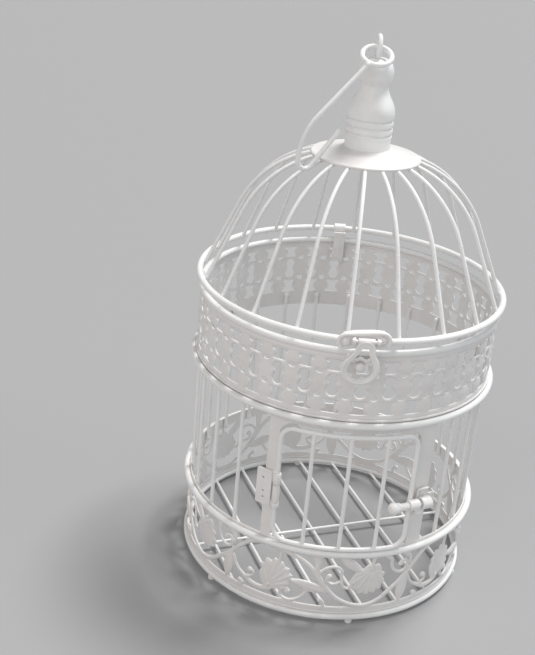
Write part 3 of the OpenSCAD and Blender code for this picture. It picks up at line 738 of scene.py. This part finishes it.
# Plate: two round lobes joined by a bar, with a rolled rim and a hood over the pin
LOBE_X, LOBE_R = 10.3, 4.9
BAR_CORNER = (6.5, -4.4)
PLATE_T = 1.3
PLATE_X, PLATE_RISE, PLATE_GAP = -0.9, 1.2, 0.7
PLATE_LEAN = math.radians(-5)
RIM_LINE_R, RIM_WIRE_R = 4.6, 1.25
HOOD_LINE = [(-11.5, 4.3), (-6, 5.1), (0, 5.2), (6, 5.1), (11.5, 4.3)]
HOOD_ROWS = ((1.2, 0.1), (2.5, -0.1), (3.7, -0.7))
HOOD_R = 0.95
LUG_X, LUG_R, LUG_T = 6.9, 1.95, 1.5

plate_outline = (circle(-LOBE_X, 0, LOBE_R, 24, 90, 270)
                 + [(-BAR_CORNER[0], BAR_CORNER[1]), BAR_CORNER]
                 + circle(LOBE_X, 0, LOBE_R, 24, -90, 90))
plate_place = (Matrix.Translation((PLATE_X, -(LID_R + RING_R + PLATE_GAP), LID_Z + PLATE_RISE))
               @ Matrix.Rotation(PLATE_LEAN, 4, "Y") @ UPRIGHT)
rim_line = (circle(-LOBE_X, 0, RIM_LINE_R, 14, 225, 90) + [(-4, 4.7), (4, 4.7)]
            + circle(LOBE_X, 0, RIM_LINE_R, 14, 90, -45))
pressed = moved(plate([plate_outline], PLATE_T, 0.4), plate_place)
rolled = tube([plate_place @ Vector((x, y, 0.4)) for x, y in rim_line], RIM_WIRE_R, 12)
hood = [tube([plate_place @ Vector((x, y + dy, -depth)) for x, y in HOOD_LINE], HOOD_R, 10)
        for depth, dy in HOOD_ROWS]
lug_outline = circle(0, 0, LUG_R, 20, -100, 100) + [(-3.2, 1.9), (-3.2, -1.9)]
lugs = [moved(plate([lug_outline], LUG_T, 0.3),
              Matrix.Translation((side * LUG_X, -PIN_Y, PIN_Z))
              @ Matrix.Rotation(math.radians(-90), 4, "Z") @ UPRIGHT)
        for side in (-1, 1)]
finish_piece("clasp_plate_pressed", *joined([pressed, rolled] + hood + lugs), FITTING, "lid",
             ["clasp_plate"], "coated_fittings", angle=45)

# A dome on each lobe, with a pressed ring round it
HEAD_R, HEAD_H, COLLAR_R, COLLAR_WIRE_R = 2.5, 1.5, 3.0, 0.35
heads = [dome(HEAD_R, HEAD_H, plate_place @ Matrix.Translation((x, 0, 0.6)))
         for x in (-LOBE_X, LOBE_X)]
collars = [tube([plate_place @ Vector((x + COLLAR_R * math.cos(a), COLLAR_R * math.sin(a), 0.65))
                 for a in np.linspace(0, 2 * math.pi, 28, endpoint=False)],
                COLLAR_WIRE_R, 8, closed=True) for x in (-LOBE_X, LOBE_X)]
finish_piece("clasp_rivet_heads", *joined(heads + collars), FITTING, "lid", ["clasp_rivets"],
             "coated_fittings", angle=50)


# Tongue: a barrel on the pin, and an open loop with a rolled edge that leans to the left
def teardrop(top_y, top_r, sides, loop_y, rx, ry):
    """Arch, widening sides and a round foot, clockwise from the arch's right end."""
    lean, lean_from, lean_over = 2.2, 3, 12
    right = [*sides] + [(rx / ry * x, y) for x, y in circle(0, loop_y, ry, 22, 24, -90)]
    left = [(-x, y) for x, y in reversed(right[:-1])]
    ring = right + left + circle(0, top_y, top_r, 18, 172, 8)
    return [(x - lean * min(1.0, max(0.0, (-y - lean_from) / lean_over)), y) for x, y in ring]


LOOP_Y = -17.0
TONGUE_T = 1.2
edge = teardrop(-4.3, 5.3, [(5.3, -4.4), (5.9, -6.6), (7.4, -9.2), (9.3, -12.0)], LOOP_Y,
                10.6, 9.4)
hole = teardrop(-5.4, 2.7, [(2.7, -5.6), (3.4, -7.4), (4.9, -9.8), (6.7, -12.4)], LOOP_Y,
                8.0, 6.9)
hang = Matrix.Translation((0, -(PIN_Y + 1.25), PIN_Z)) @ UPRIGHT
strap = moved(plate([edge, hole], TONGUE_T, 0.4), hang)
inset = [((0.8 * x + 0.2 * u), (0.8 * y + 0.2 * v)) for (x, y), (u, v) in zip(edge, hole)]
# The roll is thin at the arch, and fuller towards the foot and on the right
roll_radii = [0.8 + 0.35 * min(1.0, max(0.0, -y - 3) / 8) + 0.03 * max(0.0, x)
              for x, y in inset]
roll = tube([hang @ Vector((x, y, 0.15)) for x, y in inset], roll_radii, 10, closed=True)
hole_roll = tube([hang @ Vector((x, y, 0.2)) for x, y in hole], 0.4, 8, closed=True)
BARREL_LINE = [(1.15, -4.9), (1.8, -4.9), (2.0, -4.6), (2.0, 4.6), (1.8, 4.9), (1.15, 4.9)]
barrel = lathe(BARREL_LINE, 32, Matrix.Translation((0, -PIN_Y, PIN_Z))
               @ Matrix.Rotation(math.radians(90), 4, "Y"))
finish_piece("clasp_tongue_rolled", *joined([strap, roll, hole_roll, barrel]), FITTING, "clasp",
             ["clasp_tongue"], "coated_fittings", angle=45)

# Catch: a curl with upturned bulbed ends, and the knob below its middle
CATCH_Z = middle("catch_stud", Z)
CATCH_R = BAND_OUT + 1.0
CATCH_X, CATCH_DROP = -1.5, 1.4
# (along the wall, height, radius)
CURL = [(-7.0, 5.6, 1.3), (-6.0, 4.0, 1.7), (-4.0, 2.6, 2.0), (-1.9, 3.2, 1.8), (0, 4.2, 1.9),
        (1.9, 3.2, 1.8), (4.0, 2.6, 2.0), (6.0, 4.0, 1.7), (7.0, 5.6, 1.3)]
TIP_X, TIP_RISE = 7.1, 4.5
TIP_LINE = [(0, -1.5), (1.0, -1.1), (1.5, 0), (1.0, 1.1), (0, 1.5)]
KNOB_LINE = [(1.7, 0), (1.5, 1.4), (1.9, 1.9), (2.6, 2.5), (2.9, 3.4), (2.75, 4.3), (2.1, 5.0),
             (1.1, 5.35), (0, 5.45)]


def on_catch(x, out, rise):
    """A point beside the catch's middle, this far outside its sheet."""
    return polar(math.degrees((x + CATCH_X) / CATCH_R), CATCH_R + out, CATCH_Z + rise)


curl_path = spline(CURL, 6)
curl = tube([on_catch(x, 0.6, rise - 1.2) for x, rise, _ in curl_path],
            [r * 0.8 for _, _, r in curl_path], 12)
tips = [moved(lathe(TIP_LINE, 16), Matrix.Translation(on_catch(x, 1.0, TIP_RISE)))
        for x in (-TIP_X, TIP_X)]
foot = moved(plate([circle(0, 0, 3.4, 30)], 1.2, 0.4),
             Matrix.Translation((CATCH_X, -CATCH_R + 0.2, CATCH_Z - CATCH_DROP)) @ UPRIGHT)
finish_piece("clasp_catch_curled", *joined([curl, foot] + tips), FITTING, "cage",
             ["clasp_catch"], "coated_fittings", angle=50)
knob_place = Matrix.Translation((CATCH_X, -(BAND_OUT + 1.2), CATCH_Z - CATCH_DROP)) @ UPRIGHT
finish_piece("catch_knob", *lathe(KNOB_LINE, 32, knob_place), FITTING, "cage", ["catch_stud"],
             "coated_fittings", angle=50)

# ---- Door fittings ----


def wall_place(az, r, z):
    """Local x along the wall, local y up it, local z outward."""
    return (Matrix.Translation(polar(az, r, z)) @ Matrix.Rotation(math.radians(az), 4, "Z")
            @ UPRIGHT)


# Hinge leaf: a nailed plate beside the door, with a knuckle above and below the door's collar
HINGE_HIGH = most("door_hinge_leaf", Z)
COLLAR_LOW, COLLAR_HIGH = least("door_hinge_collar", Z), most("door_hinge_collar", Z)
LEAF_LOW = COLLAR_LOW - 5.0
LEAF_MID = (LEAF_LOW + HINGE_HIGH) / 2
LEAF_HALF = (HINGE_HIGH - LEAF_LOW) / 2
LEAF_LEFT, LEAF_RIGHT, LEAF_CORNER = -5.2, 5.4, 1.3
LEAF_AZ, LEAF_R, LEAF_T = -30.1, BAND_OUT + 1.2, 1.1
NAILS = [(-0.6, 6.4), (-0.2, -3.2), (0.1, -7.6)]
NAIL_R, NAIL_H, NAIL_HOLE_R = 0.75, 0.3, 0.62
KNUCKLE_BORE, KNUCKLE_SHOULDER, KNUCKLE_R, KNUCKLE_GAP = 1.56, 2.2, 2.45, 0.4

leaf = []
for cx, cy, start in ((LEAF_RIGHT - LEAF_CORNER, LEAF_HALF - LEAF_CORNER, 0),
                      (LEAF_LEFT + LEAF_CORNER, LEAF_HALF - LEAF_CORNER, 90),
                      (LEAF_LEFT + LEAF_CORNER, -LEAF_HALF + LEAF_CORNER, 180),
                      (LEAF_RIGHT - LEAF_CORNER, -LEAF_HALF + LEAF_CORNER, 270)):
    leaf += circle(cx, cy, LEAF_CORNER, 6, start, start + 90)
nail_holes = [circle(x, y, NAIL_HOLE_R, 16)[::-1] for x, y in NAILS]
leaf_place = wall_place(LEAF_AZ, LEAF_R, LEAF_MID)
hinge_parts = [moved(plate([leaf] + nail_holes, LEAF_T, 0.3), leaf_place)]
for low, high in ((LEAF_LOW, COLLAR_LOW - KNUCKLE_GAP), (COLLAR_HIGH + KNUCKLE_GAP, HINGE_HIGH)):
    shell = [(KNUCKLE_BORE, low), (KNUCKLE_SHOULDER, low), (KNUCKLE_R, low + 0.3),
             (KNUCKLE_R, high - 0.3), (KNUCKLE_SHOULDER, high), (KNUCKLE_BORE, high)]
    hinge_parts.append(lathe(shell, 32, Matrix.Translation(polar(-DOOR_HALF, BODY_R, 0))))
    strip = [(LEAF_LEFT, low + 0.3), (0, low + 0.3), (0, high - 0.3), (LEAF_LEFT, high - 0.3)]
    hinge_parts.append(moved(plate([strip], 1.0, 0.3), wall_place(-DOOR_HALF, BODY_R - 1.4, 0)))
finish_piece("door_hinge_leaf_pressed", *joined(hinge_parts), FITTING, "cage",
             ["door_hinge_leaf"], "coated_fittings", angle=40)
nails = [dome(NAIL_R, NAIL_H, leaf_place @ Matrix.Translation((x, y, -0.1)), 20)
         for x, y in NAILS]
finish_piece("door_hinge_nails", *joined(nails), RUST, "cage", ["door_hinge_rivets"],
             "coated_fittings", angle=50)

# Slide bolt: a rounded knob on a thick short shaft, in a sleeve on the door
BOLT_LIFT = 1.5 + 2.5 + 0.4
BOLT_LINE = [(0, -17.9), (1.6, -17.7), (2.9, -17.0), (3.75, -15.7), (3.95, -14.2),
             (3.7, -12.7), (3.25, -11.7), (3.0, -11.2), (3.15, -10.8), (3.2, -10.2),
             (3.0, -9.9), (2.5, -9.8), (2.5, 3.9), (2.2, 4.4), (1.6, 4.6), (0, 4.65)]
SLEEVE_LINE = [(2.58, -3.5), (3.1, -3.6), (3.5, -3.2), (3.5, 3.2), (3.1, 3.6), (2.58, 3.5),
               (2.58, -3.5)]
bolt_place = wall_place(DOOR_HALF, BODY_R + BOLT_LIFT, LATCH_Z)
bolt_axis = bolt_place @ Matrix.Rotation(math.radians(90), 4, "Y")
finish_piece("latch_bolt_turned", *lathe(BOLT_LINE, 40, bolt_axis), FITTING, "latch",
             ["latch_bolt"], "coated_fittings", angle=35)
finish_piece("latch_guide_sleeve", *lathe(SLEEVE_LINE, 40, bolt_axis), FITTING, "door",
             ["latch_guide"], "coated_fittings", angle=40)

# Keeper: an upright leaf whose top curls outward, with an eye for the bolt on a short web
KEEP_AZ, KEEP_T, KEEP_LIFT = DOOR_HALF + 5.1, 1.3, 0.95
KEEP_LINE = [(-3.2, -10.2), (-1.6, -11.0), (1.8, -11.0), (3.4, -9.8), (3.8, -6.0), (4.6, -3.4),
             (8.4, -2.6), (10.2, -1.4), (10.4, 0.8), (9.2, 2.0), (5.2, 2.4), (3.9, 4.4),
             (3.4, 8.6), (1.8, 10.6), (-0.8, 11.2), (-2.6, 9.8), (-3.3, 6.8), (-3.4, 0)]
CURL_FROM, CURL_OUT, CURL_OUT_POWER, CURL_DOWN, CURL_DOWN_POWER = 6.0, 0.4125, 1.35, 0.12, 1.5
EYE_LINE = [(2.95, 5.5), (3.6, 5.4), (3.95, 5.8), (3.95, 11.9), (3.6, 12.4), (2.95, 12.3),
            (2.95, 5.5)]
WEB = [(5.9, -2.0), (11.9, -2.0), (11.9, 2.0), (5.9, 2.0)]


def drape(vector):
    """Bends the flat keeper plate round the wall and turns its top outward."""
    above = max(0.0, vector.y - CURL_FROM)
    out = vector.z + CURL_OUT * above ** CURL_OUT_POWER
    return polar(KEEP_AZ + math.degrees(vector.x / (BAND_OUT + 1)), BAND_OUT + KEEP_LIFT + out,
                 LATCH_Z + vector.y - CURL_DOWN * above ** CURL_DOWN_POWER)


keeper_outline = [tuple(p) for p in spline(KEEP_LINE + [KEEP_LINE[0]], 4)[:-1]]
bent = moved(plate([keeper_outline], KEEP_T, 0.35), drape)
eye = lathe(EYE_LINE, 40, bolt_axis)
web = moved(plate([WEB], 1.6, 0.3), bolt_place @ Matrix.Translation((0, 0, -4.1)))
bent_edge = tube([drape(Vector((x, y, 0.75))) for x, y in keeper_outline], 0.45, 8, closed=True)
finish_piece("latch_keeper_leaf", *joined([bent, eye, web, bent_edge]), FITTING, "cage",
             ["latch_keeper"], "coated_fittings", angle=40)
keeper_heads = [dome(1.4, 0.7, wall_place(KEEP_AZ, BAND_OUT + 1.6, LATCH_Z + dz), 24)
                for dz in (-7.4, 4.6)]
finish_piece("keeper_rivet_heads", *joined(keeper_heads), FITTING, "cage", ["keeper_rivets"],
             "coated_fittings", angle=50)

# Door header: the strip above the door, with webs that round the two upper corners
HEAD_LOW, HEAD_HIGH = least("door_header", Z), MID_Z
HEAD_LEFT, HEAD_RIGHT = -26.4, 27.2
HEAD_PROUD = 0.1
WEB_REACH = 10.5


def header():
    span = math.radians(HEAD_RIGHT - HEAD_LEFT) * BAND_OUT
    cols, rows = 160, 34
    verts, faces = [], []
    for r, rounding in ((BAND_OUT + HEAD_PROUD, 0.25), (BAND_OUT - 0.7, -0.25)):
        for i in range(cols + 1):
            x = span * i / cols
            side = min(x, span - x)
            drop = 0.0
            if side < WEB_REACH:
                drop = WEB_REACH - math.sqrt(max(0.0, WEB_REACH ** 2 - (WEB_REACH - side) ** 2))
            bottom = HEAD_LOW + 0.2 - drop
            for j in range(rows + 1):
                z = bottom + (HEAD_HIGH - bottom) * j / rows
                rounded = rounding * max(0.0, 1 - (z - bottom) / 0.5) ** 2
                verts.append(polar(HEAD_LEFT + math.degrees(x / BAND_OUT), r - rounded, z))
    back = (cols + 1) * (rows + 1)
    for i in range(cols):
        for j in range(rows):
            a = i * (rows + 1) + j
            b = a + rows + 1
            faces.append([a, b, b + 1, a + 1])
            faces.append([a + back, a + 1 + back, b + 1 + back, b + back])
        a, b = i * (rows + 1), (i + 1) * (rows + 1)
        faces.append([a + back, b + back, b, a])
        a, b = a + rows, b + rows
        faces.append([a, b, b + back, a + back])
    for i in (0, cols):
        for j in range(rows):
            a = i * (rows + 1) + j
            end = [a, a + 1, a + 1 + back, a + back]
            faces.append(end if i == 0 else end[::-1])
    return verts, faces


finish_piece("door_header_webbed", *header(), SHEET, "cage", ["door_header"], "coated_sheet",
             angle=40)


# Welds: a soft fillet of paint where each bar runs in behind a band
def welds():
    line = [(0, -1.7), (0.9, -1.5), (1.5, -0.8), (1.75, 0.2), (1.6, 1.2), (1.4, 2.2),
            (1.28, 3.6)]
    parts = []
    count = 20
    start = DOOR_HALF + 4.1
    step = (360 - 2 * start) / (count + 1)
    for k in range(1, count + 1):
        for z, tip in ((MID_Z + 4, math.pi), (LOWER_Z - 2.6, 0)):
            turn = Matrix.Rotation(tip, 4, "X")
            skew = Matrix.Rotation(math.radians(37 * k), 4, "Z")
            squeeze = Matrix.Diagonal((1.0 + 0.06 * math.sin(3.1 * k), 1.0,
                                       1.0 + 0.1 * math.cos(2.3 * k), 1))
            place = Matrix.Translation(polar(start + k * step, BAND_IN - 1.2, z))
            parts.append(lathe(line, 20, place @ skew @ turn @ squeeze))
    return joined(parts)


finish_piece("weld_fillets", *welds(), WIRE, "cage", ["weld_beads"], "coated_wire", angle=60)

# ---- Camera, light and floor ----

YAW, PITCH, ROLL = math.radians(2.92), math.radians(24.026), math.radians(5.149)
EYE_X, EYE_Y, EYE_Z = -86.2, -672.5, 462.7
SENSOR, LENS = 36, 60.3

camera_data = bpy.data.cameras.new("camera")
camera_data.sensor_fit = "VERTICAL"
camera_data.sensor_height = SENSOR
camera_data.lens = LENS
camera_data.clip_start = 0.01
camera = bpy.data.objects.new("camera", camera_data)
bpy.context.scene.collection.objects.link(camera)
forward = Vector((math.sin(YAW) * math.cos(PITCH), math.cos(YAW) * math.cos(PITCH),
                  -math.sin(PITCH)))
right = Vector((math.cos(YAW), -math.sin(YAW), 0))
up = right.cross(forward)
frame_x = right * math.cos(ROLL) + up * math.sin(ROLL)
frame_y = -right * math.sin(ROLL) + up * math.cos(ROLL)
camera.matrix_world = Matrix((
    (frame_x.x, frame_y.x, -forward.x, EYE_X * MM),
    (frame_x.y, frame_y.y, -forward.y, EYE_Y * MM),
    (frame_x.z, frame_y.z, -forward.z, EYE_Z * MM),
    (0, 0, 0, 1)))
bpy.context.scene.camera = camera

# Half the floor's side, in metres
FLOOR_HALF = 40.0
floor_mesh = bpy.data.meshes.new("floor")
floor_mesh.from_pydata([(-FLOOR_HALF, -FLOOR_HALF, 0), (FLOOR_HALF, -FLOOR_HALF, 0),
                        (FLOOR_HALF, FLOOR_HALF, 0), (-FLOOR_HALF, FLOOR_HALF, 0)], [],
                       [(0, 1, 2, 3)])
floor = bpy.data.objects.new("floor", floor_mesh)
bpy.context.scene.collection.objects.link(floor)
paper = bpy.data.materials.new("floor_paper")
paper.use_nodes = True
paper_inputs = paper.node_tree.nodes["Principled BSDF"].inputs
paper_inputs["Base Color"].default_value = (0.33, 0.33, 0.335, 1)
paper_inputs["Roughness"].default_value = 0.8
floor_mesh.materials.append(paper)


def soft_sun(name, direction, strength, spread, colour):
    """A sun that shines from this direction, its disc spread degrees wide."""
    data = bpy.data.lights.new(name, "SUN")
    data.energy = strength
    data.color = colour
    data.angle = math.radians(spread)
    lamp = bpy.data.objects.new(name, data)
    bpy.context.scene.collection.objects.link(lamp)
    lamp.rotation_euler = Vector(direction).to_track_quat("Z", "Y").to_euler()


soft_sun("key", (0.42, 0.36, 1.3), 3.0, 22, (1, 0.99, 0.98))
soft_sun("fill", (-0.75, -1.0, 0.75), 1.1, 70, (1, 0.95, 0.92))
soft_sun("rim", (1.2, -0.25, 0.6), 0.6, 50, (0.86, 0.93, 1))

world = bpy.data.worlds.new("studio")
world.use_nodes = True
sky = world.node_tree.nodes["Background"].inputs
sky["Color"].default_value = (0.78, 0.80, 0.82, 1)
sky["Strength"].default_value = 0.375
bpy.context.scene.world = world
bpy.context.scene.view_settings.view_transform = "Standard"
